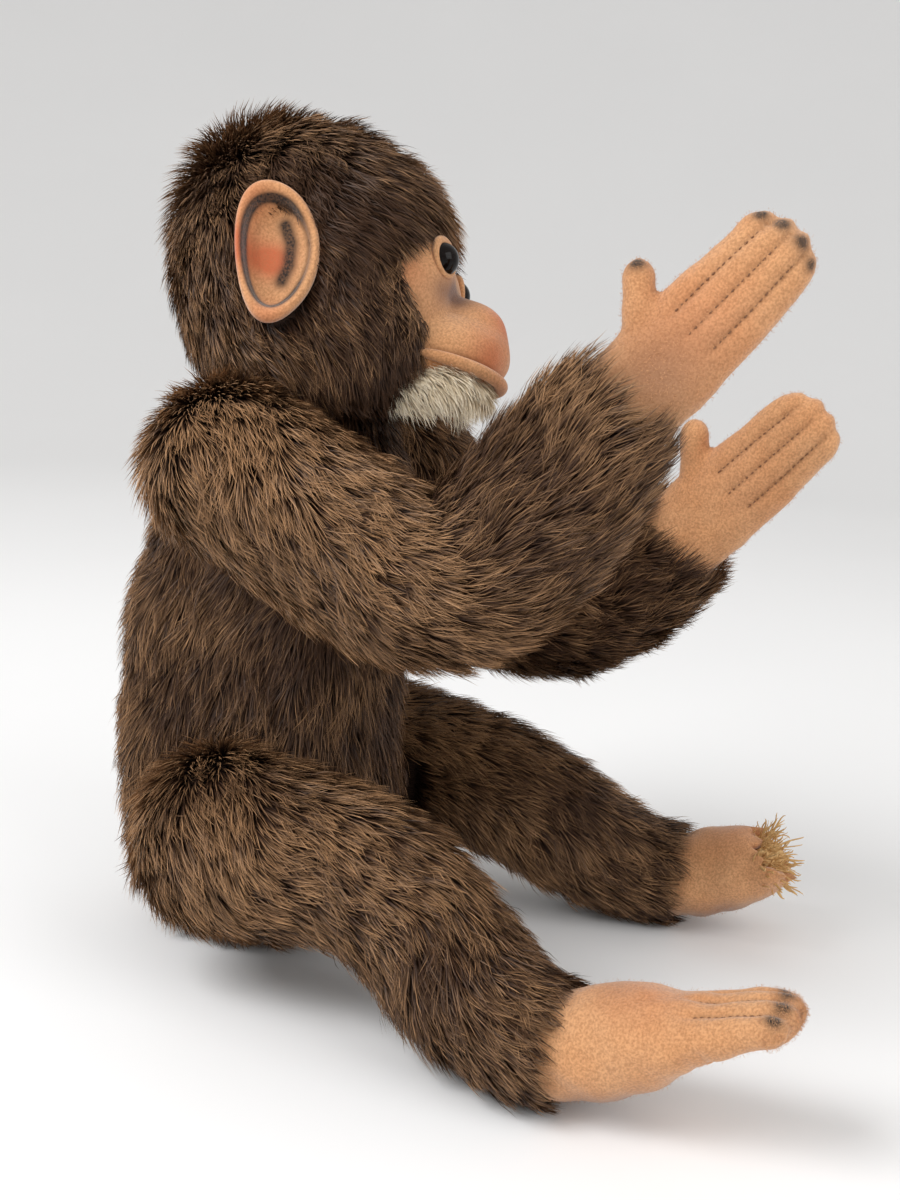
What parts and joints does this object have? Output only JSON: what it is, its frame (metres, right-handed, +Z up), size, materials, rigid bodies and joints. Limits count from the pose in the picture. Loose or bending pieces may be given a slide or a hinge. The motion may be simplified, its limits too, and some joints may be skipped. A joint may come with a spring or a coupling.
{
  "type": "jointed soft-toy chimpanzee",
  "caption": "Seated plush toy ape with mohair skin, felt face, ears, hands and feet, glass eyes, and disc joints at neck, shoulders and hips.",
  "frame": {"origin": "on the ground, in the middle plane between the shoulder joints and between the hip joints", "axes": "+Z up, the toy faces -Y, its own right side is at -X"},
  "size_m": [0.1546, 0.2304, 0.2514],
  "materials": {
    "mohair": "matte",
    "white_mohair": "matte",
    "felt": "matte",
    "wood_wool": "matte",
    "eye_glass": "gloss",
    "hardboard": "matte",
    "steel": "satin"
  },
  "bodies": {
    "torso": {"left_hip_body_disc": "hardboard", "left_hip_body_washer": "steel", "left_shoulder_body_disc": "hardboard", "left_shoulder_body_washer": "steel", "neck_body_disc": "hardboard", "neck_body_washer": "steel", "right_hip_body_disc": "hardboard", "right_hip_body_washer": "steel", "right_shoulder_body_disc": "hardboard", "right_shoulder_body_washer": "steel", "torso_skin": "mohair", "torso_stuffing": "wood_wool"},
    "head": {"chin_patch": "white_mohair", "face_felt": "felt", "head_skin": "mohair", "head_stuffing": "wood_wool", "left_ear": "felt", "left_eye": "eye_glass", "lip_band": "felt", "muzzle_stuffing": "wood_wool", "neck_cotter_pin": "steel", "neck_limb_disc": "hardboard", "neck_limb_washer": "steel", "right_ear": "felt", "right_eye": "eye_glass"},
    "right_arm": {"right_arm_skin": "mohair", "right_arm_stuffing": "wood_wool", "right_hand_felt": "felt", "right_hand_stuffing": "wood_wool", "right_shoulder_cotter_pin": "steel", "right_shoulder_limb_disc": "hardboard", "right_shoulder_limb_washer": "steel"},
    "left_arm": {"left_arm_skin": "mohair", "left_arm_stuffing": "wood_wool", "left_hand_felt": "felt", "left_hand_stuffing": "wood_wool", "left_shoulder_cotter_pin": "steel", "left_shoulder_limb_disc": "hardboard", "left_shoulder_limb_washer": "steel"},
    "right_leg": {"right_foot_felt": "felt", "right_foot_stuffing": "wood_wool", "right_hip_cotter_pin": "steel", "right_hip_limb_disc": "hardboard", "right_hip_limb_washer": "steel", "right_leg_skin": "mohair", "right_leg_stuffing": "wood_wool"},
    "left_leg": {"left_foot_felt": "felt", "left_foot_stuffing": "wood_wool", "left_hip_cotter_pin": "steel", "left_hip_limb_disc": "hardboard", "left_hip_limb_washer": "steel", "left_leg_skin": "mohair", "left_leg_stuffing": "wood_wool"}
  },
  "joints": [
    {"name": "neck_turn", "type": "hinge", "parent": "torso", "child": "head", "pos_m": [0, 0.002, 0.17415], "axis": [0, 0, 1], "range_deg": [-15, 30]},
    {"name": "right_shoulder_swing", "type": "hinge", "parent": "torso", "child": "right_arm", "pos_m": [-0.028, -0.003, 0.1568], "axis": [-1, 0, 0], "range_deg": [-35, 22]},
    {"name": "left_shoulder_swing", "type": "hinge", "parent": "torso", "child": "left_arm", "pos_m": [0.028, -0.003, 0.1568], "axis": [-1, 0, 0], "range_deg": [-20, 45]},
    {"name": "right_hip_swing", "type": "hinge", "parent": "torso", "child": "right_leg", "pos_m": [-0.028, -0.001, 0.0465], "axis": [-1, 0, 0], "range_deg": [-80, 35]},
    {"name": "left_hip_swing", "type": "hinge", "parent": "torso", "child": "left_leg", "pos_m": [0.028, -0.001, 0.0465], "axis": [-1, 0, 0], "range_deg": [-80, 22]}
  ]
}
